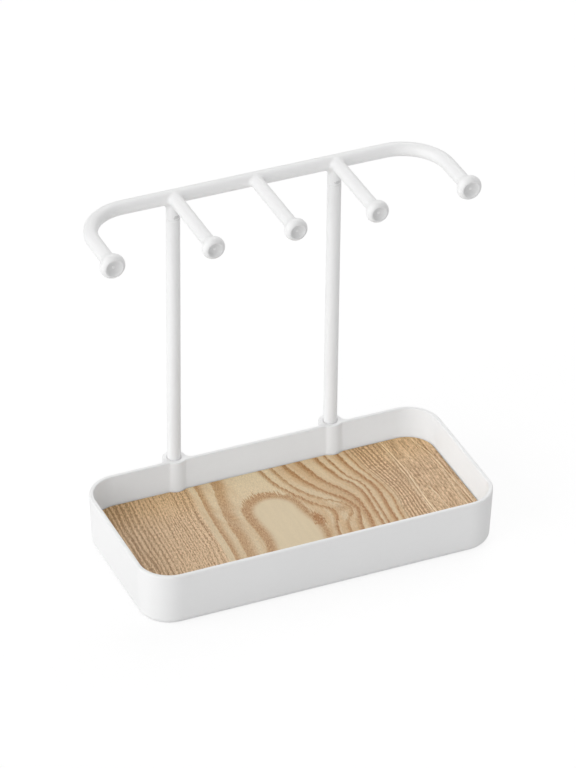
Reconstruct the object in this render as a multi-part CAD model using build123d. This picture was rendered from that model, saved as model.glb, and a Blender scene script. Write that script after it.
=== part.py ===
from build123d import *
import math
import os

# Jewellery display rack: a shallow tray with a wooden board in it, two posts that stand in
# sockets behind the tray's rear wall, and one moulded hanger with five knobbed hooks that
# plugs onto the posts.
# Sizes are in millimetres. X runs along the tray, -Y is its front and +Z is up. The origin is
# on the table, under the middle of the whole rack.

# Tray moulding
tray_length = 240.0
tray_depth = 118.0
tray_height = 37.5
corner_radius = 22.0
rim_width = 2.8
floor_thickness = 2.8
outer_draft = 2.3
inner_draft = 1.0
rim_outer_round = 1.2
rim_inner_round = 0.8
bottom_round = 5.0

# Ribs on the tray's floor, which carry the board
rib_height = 3.2
rib_thickness = 1.8
cross_rib_count = 5
long_rib_count = 2

# Wooden board
board_thickness = 10.0
board_clearance = 0.35
board_edge_round = 0.5

# Anti-slip pads under the tray
pad_radius = 6.0
pad_thickness = 1.3
pad_stand = 0.5
pad_clearance = 0.1
pad_edge_distance = 24.0

# Posts and the sockets that hold them
post_spacing = 108.0
post_setback = 3.0
post_radius = 4.4
post_wall = 1.0
post_end_chamfer = 0.25
socket_radius = 7.75
socket_blend = 4.0
socket_clearance = 0.1
socket_depth = 30.0
socket_lead_in = 0.6

# Hanger: a rail with bent ends, three pegs and two stubs that plug into the posts
rail_height = 230.5
rail_radius = 4.5
bend_radius = 30.0
hook_spread = 235.0
hook_reach = 60.0
peg_radius = 4.2
peg_reach = 64.0
peg_root_round = 2.5
stub_drop = 15.5
stub_root_round = 4.0
shoulder_chamfer = 0.3
spigot_length = 14.0
spigot_clearance = 0.1
spigot_lead_in = 0.8

# Knobs on the ends of the rods
peg_knob_radius = 7.3
hook_knob_radius = 8.0
neck_round = 7.0
knob_back_round = 5.2
knob_front_round = 3.7
lip_round = 0.8
lip_angle = 26.0
dish_depth = 2.0
mould_mark_radius = 0.75
mould_mark_height = 0.35

# Places that follow from the sizes above
rack_depth = tray_depth + post_setback + socket_radius
tray_y = (tray_depth - rack_depth) / 2
post_y = tray_y + tray_depth / 2 + post_setback
post_places = (-post_spacing / 2, post_spacing / 2)
peg_places = (-post_spacing / 2, 0.0, post_spacing / 2)
rim_z = pad_stand + tray_height
floor_z = pad_stand + floor_thickness
board_z = floor_z + rib_height
socket_floor_z = rim_z - socket_depth
post_top_z = rail_height - stub_drop


def at_sockets(vertex, wall_y):
    """True for an outline's corner where a socket's circle meets the rear wall."""
    beside_post = abs(abs(vertex.X) - post_spacing / 2) < socket_radius
    return beside_post and abs(vertex.Y - wall_y) < 0.01


def socket_circles(radius):
    return [Pos(x, post_y) * Circle(radius) for x in post_places]


def outer_outline():
    """The tray's rim outline, with both sockets joined to the rear wall."""
    slab = Pos(0, tray_y) * RectangleRounded(tray_length, tray_depth, corner_radius)
    joined = slab + socket_circles(socket_radius)
    wall_y = tray_y + tray_depth / 2
    corners = [v for v in joined.vertices() if at_sockets(v, wall_y)]
    return fillet(corners, socket_blend)


def inner_outline(inset):
    """The space inside the rim, drawn in by inset, with the sockets bulging into it."""
    length = tray_length - 2 * (rim_width + inset)
    depth = tray_depth - 2 * (rim_width + inset)
    slab = Pos(0, tray_y) * RectangleRounded(length, depth, corner_radius - rim_width - inset)
    space = slab - socket_circles(socket_radius + inset)
    wall_y = tray_y + depth / 2
    corners = [v for v in space.vertices() if at_sockets(v, wall_y)]
    return fillet(corners, socket_blend - inset)


def tray_shell():
    """The tray's outside as one solid, drafted and rounded."""
    shell = extrude(Pos(0, 0, rim_z) * outer_outline(), -tray_height, taper=outer_draft)
    shell = fillet(shell.edges().group_by(Axis.Z)[0], bottom_round)
    return fillet(shell.edges().group_by(Axis.Z)[-1], rim_outer_round)


def seat_ribs():
    """The ribs that the board lies on, run past the walls that trim them."""
    ribs = []
    for number in range(cross_rib_count):
        x = tray_length * ((number + 1) / (cross_rib_count + 1) - 0.5)
        ribs.append(Pos(x, tray_y) * Box(rib_thickness, tray_depth, rib_height))
    for number in range(long_rib_count):
        y = tray_y + tray_depth * ((number + 1) / (long_rib_count + 1) - 0.5)
        ribs.append(Pos(0, y) * Box(tray_length, rib_thickness, rib_height))
    return [Pos(0, 0, floor_z + rib_height / 2) * rib for rib in ribs]


def pad_places():
    across = tray_length / 2 - pad_edge_distance
    along = tray_depth / 2 - pad_edge_distance
    names = {(-1, -1): "front_left", (1, -1): "front_right", (-1, 1): "rear_left", (1, 1): "rear_right"}
    return {name: (side * across, tray_y + end * along) for (side, end), name in names.items()}


def make_tray():
    """The tray moulding, with its sockets, its ribs and its recesses for the pads."""
    cavity = extrude(Pos(0, 0, rim_z) * inner_outline(0), floor_z - rim_z, taper=inner_draft)
    tray = tray_shell() - cavity
    inner_rim = [e for e in tray.edges().group_by(Axis.Z)[-1] if e.center().Z > rim_z - 0.01]
    tray = fillet(inner_rim, rim_inner_round)
    room = Pos(0, 0, floor_z) * extrude(inner_outline(0), rib_height)
    tray += [rib & room for rib in seat_ribs()]
    bore_radius = post_radius + socket_clearance
    for x in post_places:
        mouth = Pos(x, post_y, rim_z)
        tray -= mouth * Pos(0, 0, -socket_depth / 2) * Cylinder(bore_radius, socket_depth)
        tray -= mouth * Pos(0, 0, -socket_lead_in / 2) * Cone(
            bore_radius, bore_radius + socket_lead_in, socket_lead_in
        )
    recess_depth = pad_thickness - pad_stand
    for x, y in pad_places().values():
        recess = Cylinder(pad_radius + pad_clearance, recess_depth)
        tray -= Pos(x, y, pad_stand + recess_depth / 2) * recess
    return tray


def make_board():
    """The wooden board, cut to the space at the height of its underside."""
    inset = (rim_z - board_z) * math.tan(math.radians(inner_draft)) + board_clearance
    board = Pos(0, 0, board_z) * extrude(inner_outline(inset), board_thickness)
    return fillet(board.edges().group_by(Axis.Z)[-1], board_edge_round)


def make_pad(x, y):
    return Pos(x, y, pad_thickness / 2) * Cylinder(pad_radius, pad_thickness)


def make_post(x):
    """A tube that stands on the socket's floor and takes the hanger's spigot in its top."""
    length = post_top_z - socket_floor_z
    tube = Cylinder(post_radius, length) - Cylinder(post_radius - post_wall, length)
    ends = tube.edges().filter_by(GeomType.CIRCLE).filter_by(lambda e: e.radius > post_radius - 0.01)
    return Pos(x, post_y, socket_floor_z + length / 2) * chamfer(ends, post_end_chamfer)


def knobbed_rod(length, rod_radius, knob_radius):
    """A rod along -Y from the origin, with a bell-shaped, dished knob at its end.

    The profile's first coordinate runs forward from the knob's widest circle, its second is the
    radius.
    """
    back_place = knob_radius - knob_back_round
    neck_rise = rod_radius + neck_round - back_place
    neck_back = math.sqrt((knob_back_round + neck_round) ** 2 - neck_rise ** 2)
    neck_share = knob_back_round / (knob_back_round + neck_round)
    shoulder = (-neck_back * neck_share, back_place + neck_rise * neck_share)
    front_place = knob_radius - knob_front_round
    lip_turn = math.radians(lip_angle)
    lip_place = knob_front_round - lip_round
    lip_middle = (lip_place * math.cos(lip_turn), front_place + lip_place * math.sin(lip_turn))
    lip_outside = (
        knob_front_round * math.cos(lip_turn),
        front_place + knob_front_round * math.sin(lip_turn),
    )
    dish_floor = lip_middle[0] + lip_round - dish_depth
    behind = dish_floor - lip_middle[0]
    dish_radius = (behind ** 2 + lip_middle[1] ** 2 - lip_round ** 2) / (2 * (lip_round - behind))
    dish_middle = dish_floor + dish_radius
    dish_share = lip_round / (dish_radius + lip_round)
    lip_inside = (
        lip_middle[0] + (dish_middle - lip_middle[0]) * dish_share,
        lip_middle[1] * (1 - dish_share),
    )
    mark_foot = dish_middle - math.sqrt(dish_radius ** 2 - mould_mark_radius ** 2)
    mark_top = mark_foot + mould_mark_height
    profile = [
        Line((-length, 0), (-length, rod_radius)),
        Line((-length, rod_radius), (-neck_back, rod_radius)),
        RadiusArc((-neck_back, rod_radius), shoulder, -neck_round),
        RadiusArc(shoulder, (0, knob_radius), knob_back_round),
        RadiusArc((0, knob_radius), lip_outside, knob_front_round),
        RadiusArc(lip_outside, lip_inside, lip_round),
        RadiusArc(lip_inside, (mark_foot, mould_mark_radius), -dish_radius),
        Line((mark_foot, mould_mark_radius), (mark_top, mould_mark_radius)),
        Line((mark_top, mould_mark_radius), (mark_top, 0)),
        Line((mark_top, 0), (-length, 0)),
    ]
    turned = revolve(make_face(Curve() + profile), Axis.X)
    return Rot(0, 0, -90) * Pos(length, 0, 0) * turned


def bent_rail():
    """The rail and both of its bends, which end where the hooks' straight rods begin."""
    end_x = hook_spread / 2
    front_y = post_y - bend_radius
    first_bend = Pos(-end_x + bend_radius, front_y)
    second_bend = Pos(end_x - bend_radius, front_y)
    path = Curve() + [
        first_bend * CenterArc((0, 0), bend_radius, 180, -90),
        Line((-end_x + bend_radius, post_y), (end_x - bend_radius, post_y)),
        second_bend * CenterArc((0, 0), bend_radius, 90, -90),
    ]
    start = Plane(origin=(-end_x, front_y, 0), z_dir=(0, 1, 0))
    return Pos(0, 0, rail_height) * sweep(start * Circle(rail_radius), path=path)


def stub(x):
    """A short leg under the rail: a shoulder that stands on the post, and a spigot inside it."""
    leg = Pos(0, 0, -stub_drop / 2) * Cylinder(post_radius, stub_drop)
    leg = chamfer(leg.edges().group_by(Axis.Z)[0], shoulder_chamfer)
    spigot_radius = post_radius - post_wall - spigot_clearance
    spigot = Pos(0, 0, -stub_drop - spigot_length / 2) * Cylinder(spigot_radius, spigot_length)
    spigot = chamfer(spigot.edges().group_by(Axis.Z)[0], spigot_lead_in)
    return Pos(x, post_y, rail_height) * (leg + spigot)


def root_edges(solid, axis, radius):
    """The edges where a rod of that radius, along that axis, leaves the rail.

    They lie on the rod's surface, close to the rail, where the axis starts.
    """
    found = []
    for edge in solid.edges():
        spots = [edge @ share for share in (0.1, 0.5, 0.9)]
        offsets = [(spot - axis.position).cross(axis.direction).length - radius for spot in spots]
        near = all((spot - axis.position).length < 2 * rail_radius for spot in spots)
        if near and max(offsets) < 0.01 and min(offsets) > -0.01:
            found.append(edge)
    return found


def make_hanger():
    """The hanger moulding: rail, end hooks, pegs and stubs in one piece."""
    hanger = bent_rail() + [stub(x) for x in post_places]
    for x in post_places:
        down = Axis((x, post_y, rail_height), (0, 0, -1))
        hanger = fillet(root_edges(hanger, down, post_radius), stub_root_round)
    for x in (-hook_spread / 2, hook_spread / 2):
        rod = knobbed_rod(hook_reach - bend_radius, rail_radius, hook_knob_radius)
        hanger += Pos(x, post_y - bend_radius, rail_height) * rod
    for x in peg_places:
        hanger += Pos(x, post_y, rail_height) * knobbed_rod(peg_reach, peg_radius, peg_knob_radius)
        forward = Axis((x, post_y, rail_height), (0, -1, 0))
        hanger = fillet(root_edges(hanger, forward, peg_radius), peg_root_round)
    return hanger


def main():
    os.makedirs("parts", exist_ok=True)
    nodes = {"tray": make_tray(), "liner_board": make_board(), "hanger": make_hanger()}
    for name, x in zip(("left_post", "right_post"), post_places):
        nodes[name] = make_post(x)
    for name, (x, y) in pad_places().items():
        nodes["foot_pad_" + name] = make_pad(x, y)
    for name, solid in nodes.items():
        export_step(solid, f"parts/{name}.step")
        print(name, round(solid.volume, 1))


main()
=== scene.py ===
"""Looks for the jewellery rack: a soft pale studio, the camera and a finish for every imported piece.

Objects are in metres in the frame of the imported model, and the finishes' sizes are in millimetres. The
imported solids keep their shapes, and this script dresses them: moulded plastic for tray and hanger, powder
coat for the posts, ash for the board, rubber for the pads.
"""

import logging
import math
from dataclasses import dataclass
from enum import Enum
from functools import partial, reduce

import bmesh
import bpy
from mathutils import Matrix, Vector

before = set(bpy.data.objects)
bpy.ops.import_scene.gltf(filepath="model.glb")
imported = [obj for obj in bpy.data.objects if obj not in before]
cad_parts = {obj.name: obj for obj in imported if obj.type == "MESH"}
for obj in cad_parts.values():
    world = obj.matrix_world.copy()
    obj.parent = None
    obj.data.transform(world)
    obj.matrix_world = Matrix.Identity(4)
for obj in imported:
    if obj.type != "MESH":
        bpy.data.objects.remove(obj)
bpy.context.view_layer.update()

log = logging.getLogger("jewellery_rack")

Pair = tuple[float, float]
Triple = tuple[float, float, float]
Colour = Triple
Curve = tuple[Pair, ...]
Socket = bpy.types.NodeSocket

PICTURE_HEIGHT = 768
SENSOR_WIDTH = 36.0
MILLIMETRES_PER_METRE = 1000.0
HALF = 0.5
WHOLE = (0.0, 1.0)
WHITE = (1.0, 1.0, 1.0)
PLASTIC_WHITE = (0.90, 0.90, 0.90)
PLASTIC_SHADE = (0.885, 0.885, 0.885)

# The curve from display levels to linear light.
TOP_LEVEL = 255.0
DISPLAY_LIFT = 0.055
DISPLAY_POWER = 2.4

# Where a Mix node has its factor and two colours, and where it has the mixed colour.
MIX_INPUTS = (0, 6, 7)
MIX_RESULT = 2


class NodeKind(Enum):
    """The shader nodes that the finishes are made of."""

    COORDINATES = "ShaderNodeTexCoord"
    MAPPING = "ShaderNodeMapping"
    NOISE = "ShaderNodeTexNoise"
    MATHS = "ShaderNodeMath"
    VECTOR_MATHS = "ShaderNodeVectorMath"
    RANGE = "ShaderNodeMapRange"
    CURVE = "ShaderNodeFloatCurve"
    MIX = "ShaderNodeMix"
    SPLIT = "ShaderNodeSeparateXYZ"
    JOIN = "ShaderNodeCombineXYZ"
    BUMP = "ShaderNodeBump"
    SHADER = "ShaderNodeBsdfPrincipled"
    GROUP = "ShaderNodeGroup"
    OUTPUT = "ShaderNodeOutputMaterial"
    EMISSION = "ShaderNodeEmission"
    BACKGROUND = "ShaderNodeBackground"
    LIGHT_PATH = "ShaderNodeLightPath"
    SHADER_MIX = "ShaderNodeMixShader"
    WORLD_OUTPUT = "ShaderNodeOutputWorld"


class Side(Enum):
    """Which side of the growth rings' middle a ring line lies on, and so where its sharp edge is."""

    LEFT = -1.0
    RIGHT = 1.0


def linear(*levels: int) -> Colour:
    """The linear light of a colour's three display levels, for levels from 11 to 255."""
    whole = 1.0 + DISPLAY_LIFT
    return tuple(((level / TOP_LEVEL + DISPLAY_LIFT) / whole) ** DISPLAY_POWER for level in levels)


class NodeSheet:
    """A node tree with short calls that add a finish's nodes.

    Most calls give the new node's result. Their values are sockets or plain numbers.
    """

    def __init__(self, tree: bpy.types.NodeTree) -> None:
        """Keeps the tree that the calls add to."""
        self.tree = tree

    def add(self, kind: NodeKind, **settings: object) -> bpy.types.Node:
        """Adds a node.

        Args:
            kind: Its kind.
            settings: Its settings by name.

        Returns:
            The node.
        """
        node = self.tree.nodes.new(kind.value)
        for name, setting in settings.items():
            setattr(node, name, setting)
        return node

    def feed(self, socket: Socket, value: object) -> None:
        """Links a socket to an input, or sets the input to a plain value.

        Args:
            socket: The input socket.
            value: An output socket, a number, or a tuple for a vector or colour.
        """
        if isinstance(value, Socket):
            self.tree.links.new(value, socket)
        elif isinstance(value, tuple) and socket.type == "RGBA":
            socket.default_value = (*value, 1.0)
        else:
            socket.default_value = value

    def fill(self, node: bpy.types.Node, *values: object, **named: object) -> bpy.types.Node:
        """Feeds several inputs of a node.

        Args:
            node: The node.
            values: What its first inputs get, in order.
            named: What others get by name.

        Returns:
            The same node.
        """
        for key, value in (*enumerate(values), *named.items()):
            self.feed(node.inputs[key], value)
        return node

    def maths(self, operation: str, *values: object) -> Socket:
        """A Math node's result, by Blender's name of the operation."""
        return self.fill(self.add(NodeKind.MATHS, operation=operation), *values).outputs[0]

    def fold(self, operation: str, *values: object) -> Socket:
        """A Math operation's result over any number of values."""
        return reduce(partial(self.maths, operation), values)

    def product(self, *values: object) -> Socket:
        """The values multiplied with each other."""
        return self.fold("MULTIPLY", *values)

    def minus(self, value: object, other: object) -> Socket:
        """A value with another one taken off."""
        return self.maths("SUBTRACT", value, other)

    def most(self, *values: object) -> Socket:
        """The highest of the values."""
        return self.fold("MAXIMUM", *values)

    def centred(self, value: Socket) -> Socket:
        """A value about 0.5 as one about 0."""
        return self.minus(value, HALF)

    def gap(self, value: Socket, other: object) -> Socket:
        """How far apart two values are."""
        return self.maths("ABSOLUTE", self.minus(value, other))

    def distance(self, wide: Socket, tall: Socket) -> Socket:
        """How long the slope of a right triangle with these sides is."""
        square = self.maths("MULTIPLY_ADD", wide, wide, self.product(tall, tall))
        return self.maths("SQRT", square)

    def ramp(
        self,
        value: object,
        start: object,
        end: object,
        low: object = 0.0,
        high: object = 1.0,
        smooth: bool = True,
    ) -> Socket:
        """Maps a value between start and end to one between low and high.

        Args:
            value: What is mapped.
            start: The value that gives low.
            end: The value that gives high.
            low: The result at start and before it.
            high: The result at end and past it.
            smooth: Whether the ends are eased.

        Returns:
            The result.
        """
        node = self.add(NodeKind.RANGE, interpolation_type="SMOOTHSTEP" if smooth else "LINEAR")
        return self.fill(node, value, start, end, low, high).outputs[0]

    def about(self, share: Socket, middle: float, spread: float, smooth: bool = True) -> Socket:
        """A share from 0 to 1 as a value from spread below the middle to spread above it."""
        return self.ramp(share, *WHOLE, middle - spread, middle + spread, smooth)

    def noise(self, place: object, scale: object, detail: float, roughness: float) -> Socket:
        """Noise about 0.5 at a point, with scale cells in one unit, finer layers and their strength."""
        values = {"Vector": place, "Scale": scale, "Detail": detail, "Roughness": roughness}
        return self.fill(self.add(NodeKind.NOISE), **values).outputs[0]

    def split(self, vector: Socket) -> tuple[Socket, ...]:
        """A vector's three parts."""
        return tuple(self.fill(self.add(NodeKind.SPLIT), vector).outputs)

    def join(self, across: object, along: object, up: object) -> Socket:
        """The vector with these three parts."""
        return self.fill(self.add(NodeKind.JOIN), across, along, up).outputs[0]

    def millimetres(self, place: Socket, offset: Triple = (0.0, 0.0, 0.0)) -> tuple[Socket, ...]:
        """The three parts of a point in metres as millimetres, with the offset added."""
        values = {"Vector": place, "Scale": (MILLIMETRES_PER_METRE,) * 3, "Location": offset}
        return self.split(self.fill(self.add(NodeKind.MAPPING), **values).outputs[0])

    def mix(self, share: object, first: object, second: object) -> Socket:
        """Mixes two colours.

        Args:
            share: How much of the second colour shows, from 0 to 1.
            first: The colour at 0.
            second: The colour at 1.

        Returns:
            The mixed colour.
        """
        node = self.add(NodeKind.MIX, data_type="RGBA")
        for place, value in zip(MIX_INPUTS, (share, first, second)):
            self.feed(node.inputs[place], value)
        return node.outputs[MIX_RESULT]

    def times(self, colour: object, factor: object) -> Socket:
        """A colour multiplied by another one, channel by channel."""
        node = self.add(NodeKind.VECTOR_MATHS, operation="MULTIPLY")
        return self.fill(node, colour, factor).outputs[0]

    def toned(self, colour: Socket, tone: Socket) -> Socket:
        """A colour made lighter or darker by a factor."""
        return self.times(colour, self.join(tone, tone, tone))

    def curve(self, value: object, points: Curve) -> Socket:
        """Looks a value up on a smooth curve.

        Args:
            value: The value, from 0 to 1.
            points: The curve's points in rising order, which lie between 0 and 1.

        Returns:
            The result.
        """
        node = self.fill(self.add(NodeKind.CURVE), Value=value)
        curve = node.mapping.curves[0]
        for _ in range(len(points) - len(curve.points)):
            curve.points.new(HALF, HALF)
        for point, place in zip(curve.points, points):
            point.location = place
        node.mapping.update()
        return node.outputs[0]

    def use(self, group: bpy.types.NodeTree, **values: object) -> bpy.types.Node:
        """Places a node group, with its inputs by name and underscores for spaces, and returns its node."""
        named = {name.replace("_", " "): value for name, value in values.items()}
        return self.fill(self.add(NodeKind.GROUP, node_tree=group), **named)


class SharedEffects:
    """The node groups that more than one finish uses, each made once.

    A noise is given by how many finer layers it has and how strong they are.
    """

    broad_noise: Pair = (2.0, 0.5)
    fine_noise: Pair = (3.0, 0.6)
    grain_noise: Pair = (2.0, 0.6)
    wave_noise: Pair = (1.0, 0.4)
    fine_share: float = 0.35
    tone_range: Pair = (0.35, 0.65)
    fine_range: Pair = (0.3, 0.7)

    def __init__(self) -> None:
        """Starts with no groups made."""
        self.made: dict[str, bpy.types.NodeTree] = {}

    def start(
        self, name: str, sizes: dict[str, float], results: tuple[str, ...]
    ) -> tuple[NodeSheet, bpy.types.Node, bpy.types.Node]:
        """Makes an empty group that reads a point in metres and sizes in millimetres.

        Args:
            name: The group's name.
            sizes: The first value of each size.
            results: The names of the numbers that it puts out.

        Returns:
            A sheet to build in it, and its input and output nodes.
        """
        group = bpy.data.node_groups.new(name, "ShaderNodeTree")
        group.interface.new_socket("Place", in_out="INPUT", socket_type="NodeSocketVector")
        for label, size in sizes.items():
            socket = group.interface.new_socket(label, in_out="INPUT", socket_type="NodeSocketFloat")
            socket.default_value = size
        for label in results:
            group.interface.new_socket(label, in_out="OUTPUT", socket_type="NodeSocketFloat")
        self.made[name] = group
        return NodeSheet(group), group.nodes.new("NodeGroupInput"), group.nodes.new("NodeGroupOutput")

    def clouds(self, sheet: NodeSheet, entry: bpy.types.Node, size: str, layers: Pair) -> Socket:
        """Noise at the group's Place whose cells have the size that the named input gives."""
        scale = sheet.maths("DIVIDE", MILLIMETRES_PER_METRE, entry.outputs[size])
        return sheet.noise(entry.outputs["Place"], scale, *layers)

    def mottle(self) -> bpy.types.NodeTree:
        """The group that varies a finish softly: broad clouds with finer ones in them.

        Returns:
            The group, whose Tone is 0 to 1 and whose Fine is the finer clouds alone.
        """
        name = "soft_mottle"
        if name not in self.made:
            sizes = {"Broad Size": 30.0, "Fine Size": 3.0}
            sheet, entry, leave = self.start(name, sizes, ("Tone", "Fine"))
            broad = self.clouds(sheet, entry, "Broad Size", self.broad_noise)
            fine = self.clouds(sheet, entry, "Fine Size", self.fine_noise)
            both = sheet.product(broad, 1.0 - self.fine_share)
            both = sheet.maths("MULTIPLY_ADD", fine, self.fine_share, both)
            sheet.fill(leave, sheet.ramp(both, *self.tone_range), sheet.ramp(fine, *self.fine_range))
        return self.made[name]

    def relief(self) -> bpy.types.NodeTree:
        """The group for a surface's height: a fine grain on slow waves.

        Returns:
            The group, whose Height is in metres.
        """
        name = "surface_relief"
        if name not in self.made:
            sizes = {"Grain Size": 0.4, "Grain Depth": 0.004, "Wave Size": 12.0, "Wave Depth": 0.02}
            sheet, entry, leave = self.start(name, sizes, ("Height",))
            grain = self.clouds(sheet, entry, "Grain Size", self.grain_noise)
            wave = self.clouds(sheet, entry, "Wave Size", self.wave_noise)
            total = sheet.product(grain, entry.outputs["Grain Depth"])
            total = sheet.maths("MULTIPLY_ADD", wave, entry.outputs["Wave Depth"], total)
            sheet.fill(leave, sheet.maths("DIVIDE", total, MILLIMETRES_PER_METRE))
        return self.made[name]


effects = SharedEffects()


def start_material(name: str) -> tuple[bpy.types.Material, NodeSheet, bpy.types.Node]:
    """Makes a material with a Principled shader joined to its output.

    Args:
        name: The material's name.

    Returns:
        The material, a sheet to build in it, and the shader node.
    """
    material = bpy.data.materials.new(name)
    material.use_nodes = True
    material.node_tree.nodes.clear()
    sheet = NodeSheet(material.node_tree)
    shader = sheet.add(NodeKind.SHADER)
    sheet.fill(sheet.add(NodeKind.OUTPUT), shader.outputs["BSDF"])
    return material, sheet, shader


def object_place(sheet: NodeSheet) -> Socket:
    """Adds a Texture Coordinate node and returns its Object output."""
    return sheet.add(NodeKind.COORDINATES).outputs["Object"]


def bumped(sheet: NodeSheet, height: Socket, strength: float) -> Socket:
    """The normal of a surface with this height in metres, of which the strength says how much shows."""
    node = sheet.fill(sheet.add(NodeKind.BUMP), Strength=strength, Distance=1.0, Height=height)
    return node.outputs["Normal"]


def camera_choice(sheet: NodeSheet, share: float, hidden: Socket, seen: Socket) -> Socket:
    """Gives camera rays a shader of their own.

    Args:
        sheet: Where the nodes go.
        share: How much of it they meet.
        hidden: What every other ray meets.
        seen: What camera rays meet.

    Returns:
        The joined shader.
    """
    camera_ray = sheet.add(NodeKind.LIGHT_PATH).outputs["Is Camera Ray"]
    amount = sheet.product(camera_ray, share)
    return sheet.fill(sheet.add(NodeKind.SHADER_MIX), amount, hidden, seen).outputs[0]


@dataclass(frozen=True)
class PegShadowOnStub:
    """Painted shade on each stub, just above its seam with the post: a small rough dark spot that stands in
    for the peg's shadow, and a dark hair line at the seam that is painted stronger on the stub's right,
    shaded side.

    Sizes are in millimetres, seen from the front, and places are from the post's axis.
    """

    axis: Pair = (54.0, 56.6)
    right: float = 0.5
    height: float = 217.7
    size: Pair = (2.5, 1.6)
    front: float = 0.6
    ragged: float = 1.8
    speck: float = 0.8
    speck_noise: Pair = (2.0, 0.6)
    depth: float = 0.26
    core: float = 0.5
    edge_height: float = 215.5
    edge_half: float = 0.25
    edge_fade: float = 0.25
    edge_turn: Pair = (-2.4, 0.6)
    edge_depth: Pair = (0.04, 0.13)

    def tone(self, sheet: NodeSheet, place: Socket) -> Socket:
        """How much of the colour is left at a point.

        Args:
            sheet: Where its nodes go.
            place: The point in metres.

        Returns:
            The factor, 1 outside the mark.
        """
        across, along, up = sheet.millimetres(place)
        post = sheet.product(sheet.maths("SIGN", across), self.axis[0])
        off_side = sheet.minus(sheet.minus(across, post), self.right)
        wide = sheet.maths("DIVIDE", off_side, self.size[0])
        tall = sheet.maths("DIVIDE", sheet.minus(up, self.height), self.size[1])
        # Painted shadow of the peg: a ragged dark spot on the stub's front.
        rough = sheet.noise(place, MILLIMETRES_PER_METRE / self.speck, *self.speck_noise)
        ragged = sheet.product(sheet.centred(rough), self.ragged)
        off = sheet.maths("ADD", sheet.distance(wide, tall), ragged)
        facing = sheet.maths("LESS_THAN", along, self.axis[1] - self.front)
        mark = sheet.product(sheet.ramp(off, self.core, 1.0, self.depth, 0.0), facing)
        # Dark seam line, painted stronger towards the stub's right, shaded side.
        edge_off = sheet.gap(up, self.edge_height)
        edge = sheet.ramp(edge_off, self.edge_half, self.edge_half + self.edge_fade, 1.0, 0.0)
        edge = sheet.product(edge, sheet.ramp(off_side, *self.edge_turn, *self.edge_depth))
        return sheet.minus(1.0, sheet.most(mark, edge))


@dataclass(frozen=True)
class DishShade:
    """Painted shade in the bottom of each knob's dish, where the recess is shaded, left off over the small
    mark of the mould at its middle so that the mark stays lighter.

    Sizes are in millimetres.
    """

    axes: tuple[float, ...] = (0.0, 54.0, 117.5)
    height: float = 230.5
    full: float = 3.3
    rim: float = 7.0
    depth: float = 0.17
    mark: float = 0.8
    mark_edge: float = 0.35
    peg_front: float = -6.5
    hook_front: float = -3.5
    between: Pair = (80.0, 90.0)

    def tone(self, sheet: NodeSheet, place: Socket) -> Socket:
        """How much of the colour is left at a point.

        Args:
            sheet: Where its nodes go.
            place: The point in metres.

        Returns:
            The factor, 1 outside the dishes.
        """
        across, along, up = sheet.millimetres(place)
        side = sheet.maths("ABSOLUTE", across)
        near = sheet.fold("MINIMUM", *(sheet.gap(side, axis) for axis in self.axes))
        radius = sheet.distance(near, sheet.minus(up, self.height))
        # Painted shade, full over the dish's middle and fading out towards its rim.
        dish_painted_shade = sheet.ramp(radius, self.full, self.rim, self.depth, 0.0)
        unmarked = sheet.ramp(radius, self.mark, self.mark + self.mark_edge)
        front = sheet.ramp(side, *self.between, self.peg_front, self.hook_front, smooth=False)
        facing = sheet.maths("LESS_THAN", along, front)
        return sheet.minus(1.0, sheet.product(dish_painted_shade, unmarked, facing))


@dataclass(frozen=True)
class SmoothCoat:
    """A pale even finish, moulded or sprayed: a slightly clouded colour, fine grain and slow waves.

    Sizes are in millimetres. The seam is the hair line where the two halves of the mould met.
    """

    name: str
    colour: Colour
    shade: Colour
    roughness: float = 0.38
    roughness_spread: float = 0.06
    specular: float = 0.5
    cloud_size: float = 40.0
    fleck_size: float = 2.5
    grain_size: float = 0.45
    grain_depth: float = 0.004
    wave_size: float = 14.0
    wave_depth: float = 0.025
    bump_strength: float = 0.6
    seam_height: float | None = None
    seam_front: float = -3.5
    seam_width: float = 0.16
    seam_depth: float = 0.03
    # Painted shade laid on the colour, such as the peg's shadow on the stubs and the darker knob dishes.
    shades: tuple[PegShadowOnStub | DishShade, ...] = ()

    def make(self) -> bpy.types.Material:
        """Builds the material.

        Returns:
            The material.
        """
        material, sheet, shader = start_material(self.name)
        place = object_place(sheet)
        mottle = sheet.use(
            effects.mottle(), Place=place, Broad_Size=self.cloud_size, Fine_Size=self.fleck_size
        )
        relief = sheet.use(
            effects.relief(),
            Place=place,
            Grain_Size=self.grain_size,
            Grain_Depth=self.grain_depth,
            Wave_Size=self.wave_size,
            Wave_Depth=self.wave_depth,
        )
        colour = sheet.mix(mottle.outputs["Tone"], self.shade, self.colour)
        # Painted shade from each of the shades darkens the colour.
        for shade in self.shades:
            colour = sheet.toned(colour, shade.tone(sheet, place))
        sheet.feed(shader.inputs["Base Color"], colour)
        rough = sheet.about(mottle.outputs["Fine"], self.roughness, self.roughness_spread, smooth=False)
        sheet.feed(shader.inputs["Roughness"], rough)
        sheet.feed(shader.inputs["Specular IOR Level"], self.specular)
        height = relief.outputs["Height"]
        if self.seam_height is not None:
            height = sheet.maths("ADD", height, self.seam(sheet, place))
        sheet.feed(shader.inputs["Normal"], bumped(sheet, height, self.bump_strength))
        return material

    def seam(self, sheet: NodeSheet, place: Socket) -> Socket:
        """The seam's height.

        Args:
            sheet: Where its nodes go.
            place: The point in metres.

        Returns:
            The height in metres.
        """
        _, along, up = sheet.millimetres(place)
        line = sheet.ramp(sheet.gap(up, self.seam_height), self.seam_width / 2, self.seam_width, 1.0, 0.0)
        behind = sheet.maths("GREATER_THAN", along, self.seam_front)
        return sheet.product(line, behind, self.seam_depth / MILLIMETRES_PER_METRE)


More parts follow.
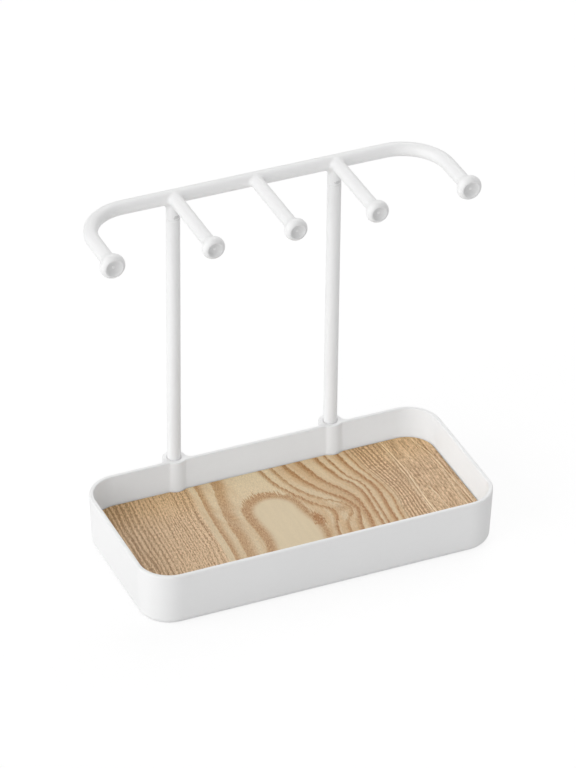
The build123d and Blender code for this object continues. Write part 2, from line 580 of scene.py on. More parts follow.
@dataclass(frozen=True)
class RingLine:
    """One growth line across the board's face, in millimetres.

    Points are (in front of the board's rear edge, right of its middle). The sharp side is the one away from
    the middle of the rings. From there the line keeps its depth over its core and then fades.
    """

    points: Curve
    sharp: float
    core: float
    soft: float
    strength: float
    side: Side = Side.RIGHT


@dataclass(frozen=True)
class ThinLine:
    """A thin line along the grain in millimetres: its points, half width, strength and fading ends."""

    points: Curve
    half: float
    strength: float
    fade: float = 4.0


@dataclass(frozen=True)
class Grain:
    """One kind of mark in the wood: its millimetres across the grain and along it, and its finer detail."""

    width: float
    length: float
    detail: float = 1.0


LEFT_THIN_LINE = (
    (3, -43.4), (14, -44.2), (22, -45.0), (33, -46.3), (44, -46.8), (56, -47.5), (67, -47.8), (78, -48.5),
    (87, -49.4),
)
RIGHT_LAST_LINE = (
    (3, 60.8), (15, 62.0), (25, 63.2), (35, 65.3), (45, 67.2), (58, 68.7), (67, 68.2), (75, 66.5), (86, 65.7),
)
CLOUD_LINE = (
    (3, 28.9), (11, 30.9), (22, 33.4), (30, 35.9), (36, 39.2), (42, 42.5), (48, 45.3), (54, 47.0), (61, 47.6),
    (70, 47.3), (78, 46.5), (86, 45.0),
)
RING_LINES = (
    RingLine(LEFT_THIN_LINE, sharp=0.6, core=1.5, soft=3.4, strength=0.66, side=Side.LEFT),
    RingLine(
        ((3, -31.7), (14, -33.3), (22, -35.0), (33, -36.8), (45, -38.5), (56, -39.2), (67, -39.4),
         (86, -41.3)),
        sharp=1.3, core=4.2, soft=4.8, strength=0.6, side=Side.LEFT,
    ),
    RingLine(
        ((3, 2.3), (11, 3.7), (20, 5.4), (31, 9.8), (43, 15.8), (52, 21.5), (56, 25.8), (60, 28.2),
         (66, 28.2), (76, 24.2), (87, 21.5)),
        sharp=0.9, core=0.7, soft=2.6, strength=0.78,
    ),
    RingLine(
        ((3, 10.0), (14, 11.5), (22, 13.2), (29, 15.3), (36, 18.7), (45, 25.3), (52, 33.0), (57, 37.6),
         (62, 39.3), (66, 38.8), (74, 33.2), (79, 30.8), (86, 29.2)),
        sharp=1.0, core=0.6, soft=2.2, strength=0.68,
    ),
    RingLine(
        ((3, 19.1), (10, 20.2), (22, 23.5), (30, 26.5), (37, 29.8), (44, 34.2), (50, 38.7), (56, 41.5),
         (62, 43.2), (68, 43.2), (74, 40.9), (86, 37.5)),
        sharp=1.2, core=1.2, soft=2.6, strength=0.8,
    ),
    RingLine(CLOUD_LINE, sharp=1.3, core=1.1, soft=3.6, strength=0.82),
    RingLine(
        ((3, 41.0), (13, 42.0), (19, 43.6), (25, 45.2), (31, 46.8), (36, 50.0), (42, 52.0), (47, 53.3),
         (53, 53.7), (61, 53.3), (70, 52.6), (86, 51.5)),
        sharp=1.3, core=0.6, soft=2.2, strength=0.85,
    ),
    RingLine(
        ((3, 47.1), (11, 47.9), (18, 49.0), (25, 50.3), (31, 52.0), (37, 55.2), (43, 57.0), (50, 57.5),
         (58, 57.0), (67, 56.5), (86, 55.0)),
        sharp=0.9, core=0.4, soft=1.5, strength=0.85,
    ),
    RingLine(
        ((3, 55.4), (11, 56.0), (21, 57.4), (31, 59.8), (39, 62.0), (46, 63.3), (53, 63.7), (61, 63.2),
         (71, 62.0), (86, 61.2)),
        sharp=0.9, core=0.9, soft=2.4, strength=0.86,
    ),
    RingLine(RIGHT_LAST_LINE, sharp=0.8, core=0.3, soft=1.4, strength=0.8),
)
LIGHT_LINES = (
    ThinLine(
        ((-4, 85.8), (6.6, 86.4), (16.7, 87.3), (23.5, 87.6), (31.6, 88.1), (39, 88.4), (45.8, 88.1),
         (53.9, 87.8), (60.7, 87.4), (67.4, 87.1), (77.5, 87.0), (94, 87.1)),
        half=0.4, strength=0.85,
    ),
    ThinLine(
        ((-4, 84.0), (6.6, 84.6), (13.4, 85.5), (21.5, 86.2), (28.9, 86.1), (37, 85.9), (44.4, 86.3),
         (53.9, 85.5), (64, 85.3), (74.2, 85.4), (94, 85.3)),
        half=0.34, strength=0.6,
    ),
    ThinLine(
        ((58, 94.5), (62.7, 94.7), (70.8, 95.8), (75.5, 95.6), (83, 96.2), (94, 96.5)),
        half=0.36, strength=0.7,
    ),
    ThinLine(((16, 95.8), (22, 96.4), (34, 96.3)), half=0.3, strength=0.5),
    ThinLine(
        ((4, 106.2), (12.7, 107.4), (18, 108.8), (23.5, 110.0), (29, 110.8), (42, 111.6), (54, 112.2),
         (66, 112.8), (80, 113.4), (94, 114.0)),
        half=0.42, strength=0.65,
    ),
    ThinLine(((44, 111.0), (56, 109.8), (67, 109.0), (77, 108.7), (94, 109.9)), half=0.45, strength=0.45),
)
DARK_LINES = (
    ThinLine(
        ((-4, 84.9), (6.6, 85.5), (16.7, 86.5), (23.5, 86.9), (31.6, 87.1), (39, 87.1), (45.8, 87.2),
         (53.9, 86.6), (60.7, 86.4), (67.4, 86.2), (77.5, 86.2), (94, 86.2)),
        half=0.3, strength=0.4,
    ),
    ThinLine(((56, 95.4), (70.8, 96.7), (75.5, 96.5), (94, 97.4)), half=0.3, strength=0.4),
    ThinLine(((14, 108.9), (23.5, 111.0), (29, 111.8), (42, 112.6), (54, 112.9)), half=0.3, strength=0.5),
    ThinLine(
        ((20, 108.6), (30, 109.9), (42, 110.7), (54, 111.3), (70, 111.9), (94, 113.0)),
        half=0.3, strength=0.45,
    ),
)


class WoodSheet(NodeSheet):
    """A node sheet for a board, with its point in the wood and the noises that the patterns share.

    Places are in millimetres: across the grain, along it from the rear edge, and flow, which is across
    straightened where the rings bend. Fray is noise about 0. Fleck and fibre run from 0 to 1.
    """

    across: Socket
    along: Socket
    flow: Socket
    fray: Socket
    fleck: Socket
    fibre: Socket
    reach: float = 116.0
    half_span: float = 125.0
    mark_roughness: float = 0.5

    def marks(self, across: Socket, grain: Grain) -> Socket:
        """Noise about 0.5 whose cells are drawn out along the grain."""
        parts = self.maths("DIVIDE", across, grain.width), self.maths("DIVIDE", self.along, grain.length)
        return self.noise(self.join(*parts, 0.0), 1.0, grain.detail, self.mark_roughness)

    def graph(self, value: Socket, points: Curve, reach: Pair, span: Pair) -> Socket:
        """Looks a value up on a smooth curve that is given in real sizes.

        Args:
            value: What is looked up.
            points: The curve's points.
            reach: The lowest and highest value that it covers.
            span: The lowest and highest result.

        Returns:
            The result.
        """
        width = reach[1] - reach[0]
        height = span[1] - span[0]
        scaled = tuple(((at - reach[0]) / width, (level - span[0]) / height) for at, level in points)
        share = self.maths("DIVIDE", self.minus(value, reach[0]), width)
        return self.maths("MULTIPLY_ADD", self.curve(share, scaled), height, span[0])

    def line_place(self, along: Socket, points: Curve) -> Socket:
        """Where a line runs, in millimetres across, by how far along the board the point is."""
        return self.graph(along, points, (0.0, self.reach), (-self.half_span, self.half_span))

    def outwards(self, along: Socket, points: Curve, side: Side) -> Socket:
        """How far a point lies beyond a line on that side of the growth rings' middle."""
        offset = self.minus(self.across, self.line_place(along, points))
        return self.product(offset, side.value)

    def over_width(self, points: Curve, span: Pair) -> Socket:
        """A quantity within the span that changes across the board."""
        return self.graph(self.flow, points, (-self.half_span, self.half_span), span)

    def shifted(self, hair: Grain, reach: float) -> Socket:
        """The place along the grain, slid up to that far fibre by fibre, which frays what crosses it."""
        slide = self.centred(self.marks(self.across, hair))
        return self.maths("MULTIPLY_ADD", slide, reach, self.along)


@dataclass(frozen=True)
class AshBoard:
    """Pale ash with one arch of growth rings, sawn so that the arch opens to the front.

    Sizes are in millimetres. Places are (right of the board's middle, in front of its rear edge). A range
    says from which value to which other a noise or mask takes effect.
    """

    name: str = "pale_ash"
    pale: Colour = linear(221, 203, 171)
    tan: Colour = linear(204, 171, 131)
    brown: Colour = linear(178, 130, 83)
    deep: Colour = linear(157, 104, 60)
    dense_light: Colour = linear(228, 198, 162)
    dense_dark: Colour = linear(166, 131, 95)
    line_light: Colour = linear(244, 224, 190)
    bounce: Colour = (0.86, 0.86, 0.85)
    bounce_share: float = 0.95
    roughness: float = 0.58
    roughness_spread: float = 0.08
    specular: float = 0.3
    relief: float = 0.05
    fleck_relief: float = 0.5
    bump_strength: float = 0.8

    # The board's place in the object, and how its rings bend with the two lines that guide them.
    middle: Triple = (0.0, 5.375, -16.5)
    rear_edge: float = 58.0
    slant: float = 0.012
    left_bend: float = -47.0
    left_flow: Pair = (-45.0, -5.0)
    right_bend: float = 65.5
    right_flow: Pair = (5.0, 50.0)
    right_flow_end: Pair = (68.0, 88.0)
    right_flow_left: float = 0.1

    # Warmer towards the rear, and painted lighter there as painted light that cancels the shade of the tray's
    # rear wall.
    rear_tint: Colour = (1.06, 1.01, 0.86)
    rear_pale_painted_light: Colour = (1.15, 1.13, 1.08)
    rear_tint_reach: float = 44.0
    rear_tint_gain: float = 1.4

    # The single growth lines and the profile that they share.
    lines: tuple[RingLine, ...] = RING_LINES
    line_hair_reach: float = 8.0
    fray_reach: float = 2.6
    core_fade: float = 0.7
    soft_share: float = 0.85
    soft_stretch: float = 1.25
    deep_range: Pair = (0.55, 1.0)
    deep_share: float = 0.55
    figure_fleck: Pair = (0.78, 1.18)

    # The arch, whose middle line is given like a growth line.
    arch_middle: Curve = ((3, -6.3), (47, -6.3), (58, -5.9), (67, -5.2), (76, -5.6), (86, -7.2))
    arch_outer: float = 20.6
    arch_start: float = 10.5
    arch_core: float = 3.8
    arch_rear_core: float = 1.6
    arch_fade: float = 5.8
    arch_overlap: float = 1.0
    arch_squeeze: float = 0.94
    arch_edge: Pair = (-1.0, 1.4)
    arch_right: Pair = (-6.0, 12.0)
    arch_thinning: float = 1.9
    arch_opening: Triple = (40.0, 84.0, 4.2)
    arch_opening_side: Pair = (2.0, 12.0)
    arch_strength: float = 0.68
    hair_reach: float = 16.0

    # The two darker spots beside the arch.
    blotch_place: Pair = (15.2, 66.0)
    blotch_size: Pair = (4.4, 9.5)
    blotch_range: Pair = (0.5, 1.15)
    blotch_strength: float = 0.85
    knot_place: Pair = (33.0, 61.0)
    knot_size: Pair = (5.6, 5.6)
    knot_range: Pair = (0.2, 1.3)
    knot_strength: float = 0.5
    spot_fray: float = 1.4

    # The outer areas: how many rings have been passed, and how strong each mark is, by place across.
    dense_left: Pair = (3.6, 6.0)
    dense_right: Pair = (0.0, 5.0)
    ring_count: Curve = (
        (-120, 0.0), (-104, 4.7), (-90, 8.9), (-76, 14.3), (-50, 25.1), (58, 26.1), (70, 31.2), (84, 37.2),
        (100, 44.0), (120, 52.3),
    )
    ring_count_span: Pair = (0.0, 60.0)
    ring_wander: float = 1.6
    ring_strength: Curve = (
        (-120, 0.8), (-92, 0.8), (-80, 0.65), (-55, 0.65), (58, 1.0), (76, 1.0), (86, 0.35), (104, 0.2),
        (112, 0.6), (120, 0.6),
    )
    fleck_strength: Curve = (
        (-120, 0.5), (-80, 0.65), (-55, 0.7), (0, 0.3), (60, 0.45), (84, 0.82), (96, 0.48), (120, 0.4),
    )
    dense_bias: Curve = (
        (-120, 0.22), (-104, 0.14), (-88, -0.05), (-70, -0.15), (-55, -0.08), (58, 0.16), (80, 0.13),
        (92, 0.02), (106, -0.08), (120, -0.1),
    )
    dense_bias_span: Pair = (-0.4, 0.4)
    patch_strength: Curve = ((-120, 0.2), (60, 0.1), (84, 0.3), (96, 0.8), (120, 1.0))
    patch_depth: float = 0.16
    dense_base: float = 0.44
    ring_weight: float = 0.52
    streak_weight: float = 0.6
    fleck_weight: float = 1.35
    dense_limit: float = 1.3

    # The tan between the lines of the open figure.
    tan_range: Pair = (0.36, 0.64)
    tan_span: Pair = (0.2, 0.74)
    tan_right: Pair = (8.0, 20.0)
    tan_beside_arch: float = 0.55
    tan_fibre: float = 0.14
    tan_behind_arch: Pair = (6.0, 26.0)
    tan_behind_share: float = 0.3
    tan_arch_middle: float = -7.0

    # The thin lines: their edges in half widths, and how the fibres thin them.
    light_lines: tuple[ThinLine, ...] = LIGHT_LINES
    dark_lines: tuple[ThinLine, ...] = DARK_LINES
    thin_line_edges: Pair = (0.5, 2.0)
    thin_line_fibre: Pair = (0.1, 0.9)
    thin_line_span: Pair = (1.2, 0.5)

    # The noises: what each kind of mark measures, and how it shows.
    hair: Grain = Grain(0.9, 9.0)
    fray: Grain = Grain(0.9, 3.0)
    fleck: Grain = Grain(0.52, 2.2)
    long_fleck: Grain = Grain(0.42, 3.2)
    patch: Grain = Grain(4.5, 11.0)
    slow: Grain = Grain(3.2, 22.0, 2.0)
    streak: Grain = Grain(0.7, 30.0)
    fibre: Grain = Grain(0.8, 14.0)
    cloud: Grain = Grain(6.0, 60.0)
    wander: Grain = Grain(11.0, 50.0)
    pore: Grain = Grain(0.35, 3.2)
    fleck_range: Pair = (0.34, 0.66)
    fibre_range: Pair = (0.32, 0.68)
    long_fleck_place: Pair = (80.0, 92.0)
    speckle: Pair = (0.2, 0.035)
    slow_depth: float = 0.12
    pore_range: Pair = (0.56, 0.72)
    pore_dark: Pair = (0.1, 0.9)
    pore_span: Pair = (0.04, 0.5)

    def make(self) -> bpy.types.Material:
        """Builds the material.

        Returns:
            The material.
        """
        material, sheet, shader = start_material(self.name)
        wood = self.place(WoodSheet(sheet.tree))
        figure, arch_inside = self.figure(wood)
        dense = self.dense_mask(wood)
        dense_tone = self.dense_tone(wood)
        colour = wood.mix(self.open_tan(wood, arch_inside), self.pale, self.tan)
        colour = wood.mix(dense, colour, wood.mix(dense_tone, self.dense_light, self.dense_dark))
        colour = wood.mix(figure, colour, self.brown)
        colour = wood.mix(wood.ramp(figure, *self.deep_range, 0.0, self.deep_share), colour, self.deep)
        for lines, tint in ((self.dark_lines, self.deep), (self.light_lines, self.line_light)):
            colour = wood.mix(self.thin_line_mask(wood, lines), colour, tint)
        colour = wood.mix(self.pore_share(wood, wood.most(figure, dense)), colour, self.deep)
        colour = self.speckled(wood, colour, arch_inside)
        # Warmer towards the rear, with painted light there against the rear wall's shade.
        colour = self.rear_warmed_and_painted_lighter(wood, colour, figure, dense)
        bounced = wood.add(NodeKind.LIGHT_PATH).outputs["Is Diffuse Ray"]
        colour = wood.mix(wood.product(bounced, self.bounce_share), colour, self.bounce)
        wood.feed(shader.inputs["Base Color"], colour)
        wood.feed(shader.inputs["Roughness"], wood.about(wood.fibre, self.roughness, self.roughness_spread))
        wood.feed(shader.inputs["Specular IOR Level"], self.specular)
        flecked = wood.product(wood.fleck, self.fleck_relief)
        depth = wood.maths("MULTIPLY_ADD", dense_tone, dense, flecked)
        height = wood.product(depth, -self.relief / MILLIMETRES_PER_METRE)
        wood.feed(shader.inputs["Normal"], bumped(wood, height, self.bump_strength))
        return material

    def place(self, wood: WoodSheet) -> WoodSheet:
        """Gives the sheet its point in the wood and its shared noises.

        The rings lean outwards with depth, so the board's edges show them too.

        Args:
            wood: The sheet.

        Returns:
            The same sheet.
        """
        across, along, up = wood.millimetres(object_place(wood), self.middle)
        wood.across = wood.product(across, wood.maths("MULTIPLY_ADD", up, self.slant, 1.0))
        wood.along = wood.minus(self.rear_edge, along)
        left = wood.minus(wood.line_place(wood.along, LEFT_THIN_LINE), self.left_bend)
        left = wood.product(left, wood.ramp(wood.across, *self.left_flow, 1.0, 0.0))
        right = wood.minus(wood.line_place(wood.along, RIGHT_LAST_LINE), self.right_bend)
        begun = wood.ramp(wood.across, *self.right_flow)
        ended = wood.ramp(wood.across, *self.right_flow_end, 1.0, self.right_flow_left)
        right = wood.product(right, begun, ended)
        wood.flow = wood.minus(wood.across, wood.maths("ADD", left, right))
        wood.fray = wood.centred(wood.marks(wood.across, self.fray))
        wood.fibre = wood.ramp(wood.marks(wood.flow, self.fibre), *self.fibre_range, smooth=False)
        short, long = (
            wood.ramp(wood.marks(wood.flow, grain), *self.fleck_range, smooth=False)
            for grain in (self.fleck, self.long_fleck)
        )
        wood.fleck = wood.ramp(wood.flow, *self.long_fleck_place, short, long)
        return wood

    def figure(self, wood: WoodSheet) -> tuple[Socket, Socket]:
        """The dark figure: ring lines, arch, blotch and knot.

        Args:
            wood: The point in the wood.

        Returns:
            The figure's share, and the mask of the plain wood inside the arch.
        """
        line_along = wood.shifted(self.hair, self.line_hair_reach)
        rings = wood.most(*(self.band(wood, line_along, line) for line in self.lines))
        arch, inside = self.arch_masks(wood)
        blotch = self.spot(wood, self.blotch_place, self.blotch_size)
        arch = wood.most(arch, wood.ramp(blotch, *self.blotch_range, self.blotch_strength, 0.0))
        knot = self.spot(wood, self.knot_place, self.knot_size)
        rings = wood.most(rings, wood.ramp(knot, *self.knot_range, self.knot_strength, 0.0))
        flecked = wood.ramp(wood.fleck, *WHOLE, *self.figure_fleck, smooth=False)
        return wood.product(wood.most(rings, arch), flecked), inside

    def band(self, wood: WoodSheet, along: Socket, line: RingLine) -> Socket:
        """A growth ring's profile: a ragged sharp edge outside and a soft fade inside.

        Args:
            wood: The point in the wood.
            along: Millimetres from the rear edge, slid fibre by fibre.
            line: The ring line.

        Returns:
            The band's mask.
        """
        outwards = wood.outwards(along, line.points, line.side)
        frayed = wood.maths("MULTIPLY_ADD", wood.fray, self.fray_reach * min(1.0, line.sharp), outwards)
        edge = wood.ramp(frayed, 0.0, line.sharp, 1.0, 0.0)
        inwards = wood.product(outwards, -1.0)
        fade = wood.ramp(inwards, line.core, line.core + self.soft_stretch * line.soft, self.soft_share, 0.0)
        core = wood.ramp(inwards, line.core, line.core + self.core_fade, 1.0, 0.0)
        return wood.product(wood.most(fade, core), line.strength, edge)

    def arch_masks(self, wood: WoodSheet) -> tuple[Socket, Socket]:
        """The arch of the innermost ring, round at its rear and open to the front.

        Args:
            wood: The point in the wood.

        Returns:
            The arch's mask and that of the wood inside it.
        """
        hairy = self.arch_distance(wood, wood.shifted(self.hair, self.hair_reach))
        plain = self.arch_distance(wood, wood.along)
        side = wood.minus(wood.across, wood.line_place(wood.along, self.arch_middle))
        thinning = wood.ramp(side, *self.arch_right, 0.0, self.arch_thinning)
        outside = wood.maths("ADD", wood.maths("MULTIPLY_ADD", wood.fray, self.fray_reach, hairy), thinning)
        edge = wood.ramp(outside, *self.arch_edge, 1.0, 0.0)
        start = self.rear_edge - self.arch_start
        thicker = wood.ramp(wood.along, start - self.arch_outer, start, self.arch_rear_core, 0.0)
        inwards = wood.minus(wood.product(plain, -1.0), thicker)
        end = self.arch_core + self.arch_fade
        fade = wood.ramp(inwards, self.arch_core, end, 1.0, 0.0)
        inside = wood.ramp(inwards, self.arch_core - self.arch_overlap, end)
        return wood.product(edge, fade, self.arch_strength), inside

    def arch_distance(self, wood: WoodSheet, along: Socket) -> Socket:
        """How far outside the arch's outer edge a point lies.

        Args:
            wood: The point in the wood.
            along: Millimetres from the rear edge.

        Returns:
            The distance in millimetres, below 0 inside.
        """
        side = wood.minus(wood.across, wood.line_place(along, self.arch_middle))
        start = self.rear_edge - self.arch_start
        behind = wood.most(wood.minus(start, along), 0.0)
        behind = wood.product(behind, self.arch_squeeze)
        outwards = wood.minus(wood.distance(behind, side), self.arch_outer)
        first, last, width = self.arch_opening
        opening = wood.ramp(along, first, last, 0.0, width)
        right = wood.ramp(side, *self.arch_opening_side)
        return wood.minus(outwards, wood.product(opening, right))

    def spot(self, wood: WoodSheet, place: Pair, size: Pair) -> Socket:
        """A frayed oval patch.

        Args:
            wood: The point in the wood.
            place: Its middle, across and along.
            size: Its half width and half length.

        Returns:
            The distance from its middle, 1 at its edge.
        """
        wide = wood.maths("DIVIDE", wood.minus(wood.across, place[0]), size[0])
        long = wood.maths("DIVIDE", wood.minus(wood.along, place[1]), size[1])
        return wood.maths("MULTIPLY_ADD", wood.fray, self.spot_fray, wood.distance(wide, long))

    def dense_mask(self, wood: WoodSheet) -> Socket:
        """The two outer areas where the rings stand close together.

        Args:
            wood: The point in the wood.

        Returns:
            The mask of both areas.
        """
        left = wood.outwards(wood.along, LEFT_THIN_LINE, Side.LEFT)
        right = wood.outwards(wood.along, RIGHT_LAST_LINE, Side.RIGHT)
        return wood.most(wood.ramp(left, *self.dense_left), wood.ramp(right, *self.dense_right))

    def dense_tone(self, wood: WoodSheet) -> Socket:
        """How dark the outer areas are: close rings, long streaks, short flecks and soft patches.

        Args:
            wood: The point in the wood.

        Returns:
            The tone, 0 light and 1 dark.
        """
        count = wood.over_width(self.ring_count, self.ring_count_span)
        count = wood.maths("MULTIPLY_ADD", wood.marks(wood.flow, self.wander), self.ring_wander, count)
        wave = wood.maths("SINE", wood.product(count, math.tau))
        ring = wood.product(wave, wood.over_width(self.ring_strength, WHOLE))
        streak = wood.ramp(wood.marks(wood.flow, self.streak), *self.fleck_range, smooth=False)
        fleck_strength = wood.over_width(self.fleck_strength, WHOLE)
        speck = wood.product(wood.centred(wood.fleck), fleck_strength)
        patch = wood.marks(wood.flow, self.patch)
        patch = wood.ramp(patch, *self.fibre_range, -self.patch_depth, self.patch_depth)
        patch = wood.product(patch, wood.over_width(self.patch_strength, WHOLE))
        tone = wood.maths("MULTIPLY_ADD", ring, self.ring_weight, self.dense_base)
        tone = wood.maths("MULTIPLY_ADD", wood.centred(streak), self.streak_weight, tone)
        tone = wood.maths("MULTIPLY_ADD", speck, self.fleck_weight, tone)
        tone = wood.fold("ADD", tone, wood.over_width(self.dense_bias, self.dense_bias_span), patch)
        return wood.maths("MINIMUM", wood.most(tone, 0.0), self.dense_limit)

    def open_tan(self, wood: WoodSheet, arch_inside: Socket) -> Socket:
        """The tan tone between the lines of the open figure, which the wood inside the arch lacks.

        Args:
            wood: The point in the wood.
            arch_inside: The mask of the wood inside the arch.

        Returns:
            Its share.
        """
        drift = wood.minus(wood.across, wood.line_place(wood.along, CLOUD_LINE))
        cloud = wood.ramp(wood.marks(drift, self.cloud), *self.tan_range, *self.tan_span)
        beside = wood.ramp(wood.across, *self.tan_right, self.tan_beside_arch, 1.0)
        share = wood.maths("MULTIPLY_ADD", wood.fibre, self.tan_fibre, wood.product(cloud, beside))
        away = wood.ramp(wood.gap(wood.across, self.tan_arch_middle), *self.tan_right)
        behind = wood.product(wood.ramp(wood.along, *self.tan_behind_arch), self.tan_behind_share)
        outside = wood.minus(1.0, arch_inside)
        return wood.product(share, outside, wood.most(away, behind))

    def thin_line_mask(self, wood: WoodSheet, lines: tuple[ThinLine, ...]) -> Socket:
        """The thin light or dark lines on the right, which the long fibres thin out here and there.

        Args:
            wood: The point in the wood.
            lines: The lines.

        Returns:
            Their mask.
        """
        inner, outer = self.thin_line_edges
        masks = []
        for line in lines:
            off = wood.gap(wood.across, wood.line_place(wood.along, line.points))
            mask = wood.ramp(off, line.half * inner, line.half * outer, line.strength, 0.0)
            start, end = line.points[0][0], line.points[-1][0]
            begun = wood.ramp(wood.along, start, start + line.fade)
            ended = wood.ramp(wood.along, end - line.fade, end, 1.0, 0.0)
            masks.append(wood.product(begun, ended, mask))
        thinned = wood.ramp(wood.fibre, *self.thin_line_fibre, *self.thin_line_span)
        return wood.product(wood.most(*masks), thinned)

    def pore_share(self, wood: WoodSheet, dark: Socket) -> Socket:
        """The share of open pores, which lie thickest in the dark parts of the rings."""
        pores = wood.ramp(wood.marks(wood.across, self.pore), *self.pore_range)
        return wood.product(pores, wood.ramp(dark, *self.pore_dark, *self.pore_span))

    def speckled(self, wood: WoodSheet, colour: Socket, arch_inside: Socket) -> Socket:
        """The colour varied by fine flecks outside the arch and by slow streaks everywhere.

        Args:
            wood: The point in the wood.
            colour: The colour.
            arch_inside: The mask of the wood inside the arch.

        Returns:
            The speckled colour.
        """
        strength = wood.ramp(arch_inside, *WHOLE, *self.speckle)
        change = wood.product(wood.minus(HALF, wood.fleck), strength)
        slow = wood.centred(wood.marks(wood.flow, self.slow))
        tone = wood.maths("MULTIPLY_ADD", slow, self.slow_depth, wood.maths("ADD", change, 1.0))
        return wood.toned(colour, tone)

    def rear_warmed_and_painted_lighter(self, wood: WoodSheet, colour: Socket, figure: Socket, dense: Socket) -> Socket:
        """The colour warmed towards the board's rear, and lightened there as painted light that cancels the
        shade of the tray's rear wall.

        Args:
            wood: The point in the wood.
            colour: The colour.
            figure: The dark figure's share.
            dense: The mask of the outer areas.

        Returns:
            The tinted colour.
        """
        rear = wood.ramp(wood.along, 0.0, self.rear_tint_reach, 1.0, 0.0)
        dark = wood.most(wood.product(figure, self.rear_tint_gain), dense)
        # Painted light: the pale wood is lightened most towards the rear, against the rear wall's shade.
        tint = wood.mix(dark, self.rear_pale_painted_light, self.rear_tint)
        return wood.times(colour, wood.mix(rear, WHITE, tint))


@dataclass(frozen=True)
class SoftSky:
    """A wide even light from one side of the room, as a large frosted window or screen gives.

    Azimuth and elevation are in degrees, and azimuth 0 is the rack's front.
    """

    name: str
    azimuth: float
    elevation: float
    spread: float
    strength: float

    def build(self) -> None:
        """Makes the light."""
        data = bpy.data.lights.new(self.name, "SUN")
        data.energy = self.strength
        data.angle = math.radians(self.spread)
        light = bpy.data.objects.new(self.name, data)
        place = direction(math.radians(self.azimuth), math.radians(self.elevation))
        light.matrix_world = Matrix.Translation(place) @ place.to_track_quat("Z", "Y").to_matrix().to_4x4()
        bpy.context.scene.collection.objects.link(light)


def direction(azimuth: float, elevation: float) -> Vector:
    """The way out from the rack by two angles in radians, with azimuth 0 at its front."""
    level = math.cos(elevation)
    return Vector((math.sin(azimuth) * level, -math.cos(azimuth) * level, math.sin(elevation)))


@dataclass
class Studio:
    """The pale floor, the soft light round the rack and the camera, with its angles in radians."""

    floor_half: float = 8.0
    floor_drop: float = 0.0001
    floor_glow: float = 1.1
    floor_glow_share: float = 0.75
    paper: SmoothCoat = SmoothCoat(
        "studio_paper",
        (0.84, 0.84, 0.84),
        (0.82, 0.82, 0.82),
        roughness=0.9,
        roughness_spread=0.03,
        specular=0.1,
        cloud_size=300.0,
        fleck_size=20.0,
        grain_size=0.8,
        grain_depth=0.002,
        wave_size=200.0,
        wave_depth=0.0,
    )
    sky_strength: float = 0.43
    sky_seen: float = 1.0
    lights: tuple[SoftSky, ...] = (
        SoftSky("left_window", -90.0, 15.0, 60.0, 1.48),
        SoftSky("front_left_screen", -45.0, 35.0, 60.0, 0.68),
        SoftSky("rear_right_screen", 135.0, 40.0, 60.0, 0.96),
    )
    camera_place: Triple = (-0.9832735, -2.2215010, 1.7299767)
    azimuth: float = -0.416387216
    elevation: float = 0.586985544
    roll: float = 0.011720553
    focal_pixels: float = 4718.857
    clip: Pair = (0.05, 60.0)

    def build(self) -> None:
        """Makes floor, sky, lights and camera."""
        self.build_floor()
        self.build_sky()
        for light in self.lights:
            light.build()
        self.build_camera()
        log.info("studio: floor, sky, %d soft lights and camera", len(self.lights))

    def build_floor(self) -> None:
        """Makes the floor that the rack stands on."""
        mesh = bpy.data.meshes.new("studio_floor")
        shape = bmesh.new()
        bmesh.ops.create_grid(shape, x_segments=2, y_segments=2, size=self.floor_half)
        bmesh.ops.translate(shape, verts=shape.verts, vec=(0.0, 0.0, -self.floor_drop))
        shape.to_mesh(mesh)
        shape.free()
        floor = bpy.data.objects.new("studio_floor", mesh)
        bpy.context.scene.collection.objects.link(floor)
        material = self.paper.make()
        self.overexpose(material)
        mesh.materials.append(material)

    def overexpose(self, material: bpy.types.Material) -> None:
        """Lets the camera see the paper nearly burnt out, as in a shot on white.

        Args:
            material: The paper, which lights the rack as before.
        """
        sheet = NodeSheet(material.node_tree)
        nodes = material.node_tree.nodes
        shader = next(node for node in nodes if node.type == "BSDF_PRINCIPLED")
        output = next(node for node in nodes if node.type == "OUTPUT_MATERIAL")
        glow = sheet.fill(sheet.add(NodeKind.EMISSION), Strength=self.floor_glow)
        choice = camera_choice(sheet, self.floor_glow_share, shader.outputs["BSDF"], glow.outputs[0])
        sheet.feed(output.inputs["Surface"], choice)

    def build_sky(self) -> None:
        """Gives the scene an even surround: a dim one that lights the rack, and a white one behind it."""
        world = bpy.data.worlds.new("studio_sky")
        world.use_nodes = True
        world.node_tree.nodes.clear()
        sheet = NodeSheet(world.node_tree)
        lighting, seen = (
            sheet.fill(sheet.add(NodeKind.BACKGROUND), Color=WHITE, Strength=strength).outputs[0]
            for strength in (self.sky_strength, self.sky_seen)
        )
        sheet.fill(sheet.add(NodeKind.WORLD_OUTPUT), camera_choice(sheet, 1.0, lighting, seen))
        bpy.context.scene.world = world

    def build_camera(self) -> None:
        """Makes the camera at the photograph's viewpoint."""
        data = bpy.data.cameras.new("photo_view")
        data.sensor_width = SENSOR_WIDTH
        data.lens = self.focal_pixels / PICTURE_HEIGHT * SENSOR_WIDTH
        data.clip_start, data.clip_end = self.clip
        camera = bpy.data.objects.new("photo_view", data)
        back = direction(self.azimuth, self.elevation)
        right = (-back).cross(Vector((0.0, 0.0, 1.0))).normalized()
        upward = right.cross(-back)
        cosine = math.cos(self.roll)
        sine = math.sin(self.roll)
        turned_right = cosine * right + sine * upward
        turned_up = cosine * upward - sine * right
        pose = Matrix((turned_right, turned_up, back)).transposed().to_4x4()
        camera.matrix_world = Matrix.Translation(self.camera_place) @ pose
        bpy.context.scene.collection.objects.link(camera)
        bpy.context.scene.camera = camera


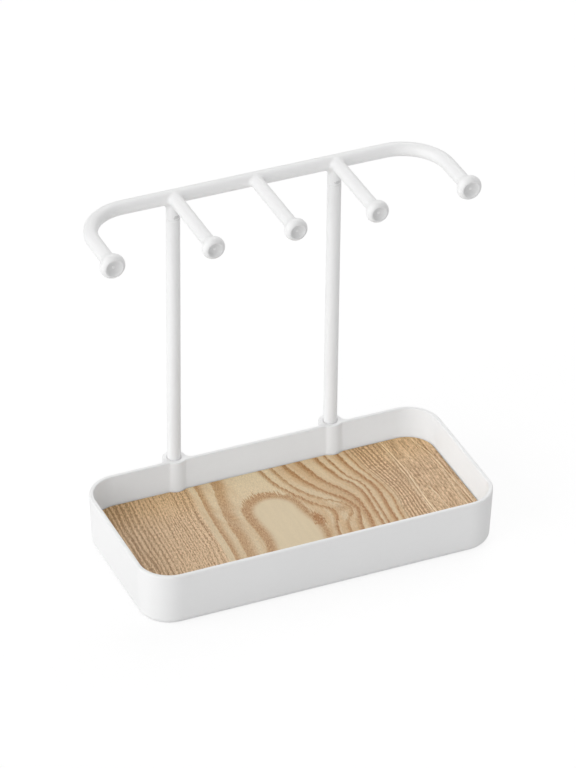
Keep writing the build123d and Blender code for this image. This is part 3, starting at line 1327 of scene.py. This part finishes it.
def dress(node: str, material: bpy.types.Material) -> None:
    """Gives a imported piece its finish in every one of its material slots.

    Args:
        node: The piece's name.
        material: The finish.
    """
    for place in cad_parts[node].material_slots:
        place.material = material
    log.info("%s: finish %s", node, material.name)


@dataclass
class TrayBase:
    """The moulded tray with its two sockets, on four rubber pads."""

    tray: str = "tray"
    pads: tuple[str, ...] = (
        "foot_pad_front_left",
        "foot_pad_front_right",
        "foot_pad_rear_left",
        "foot_pad_rear_right",
    )
    plastic: SmoothCoat = SmoothCoat("tray_white_plastic", PLASTIC_WHITE, PLASTIC_SHADE)
    rubber: SmoothCoat = SmoothCoat(
        "pad_grey_rubber",
        (0.62, 0.62, 0.61),
        (0.56, 0.56, 0.55),
        roughness=0.7,
        cloud_size=6.0,
        fleck_size=0.8,
        grain_size=0.25,
        grain_depth=0.012,
        wave_size=5.0,
        wave_depth=0.01,
    )

    def dress(self) -> None:
        """Gives tray and pads their finishes."""
        dress(self.tray, self.plastic.make())
        rubber = self.rubber.make()
        for pad in self.pads:
            dress(pad, rubber)


@dataclass
class LooseBoard:
    """The wooden board that lies in the tray."""

    node: str = "liner_board"
    wood: AshBoard = AshBoard()

    def dress(self) -> None:
        """Gives the board its wood."""
        dress(self.node, self.wood.make())


@dataclass
class PostPair:
    """The two sprayed steel posts behind the tray."""

    nodes: tuple[str, ...] = ("left_post", "right_post")
    coat: SmoothCoat = SmoothCoat(
        "post_white_powder_coat",
        PLASTIC_WHITE,
        PLASTIC_SHADE,
        roughness=0.34,
        grain_size=0.9,
        grain_depth=0.012,
        wave_size=6.0,
        wave_depth=0.01,
    )

    def dress(self) -> None:
        """Gives the posts their coat."""
        coat = self.coat.make()
        for node in self.nodes:
            dress(node, coat)


@dataclass
class HookHanger:
    """The moulded rail with its hooks and pegs."""

    node: str = "hanger"
    plastic: SmoothCoat = SmoothCoat(
        "hanger_white_plastic",
        PLASTIC_WHITE,
        PLASTIC_SHADE,
        seam_height=230.5,
        # Painted shade: the pegs' shadows on the stubs and the darker bottoms of the knob dishes.
        shades=(PegShadowOnStub(), DishShade()),
    )

    def dress(self) -> None:
        """Gives the hanger its finish."""
        dress(self.node, self.plastic.make())


def main() -> None:
    """Builds the studio and dresses the rack piece by piece."""
    logging.basicConfig(level=logging.INFO, format="%(name)s: %(message)s")
    bpy.context.scene.view_settings.view_transform = "Standard"
    Studio().build()
    for assembly in (TrayBase(), LooseBoard(), PostPair(), HookHanger()):
        assembly.dress()


if __name__ == "__main__":
    main()
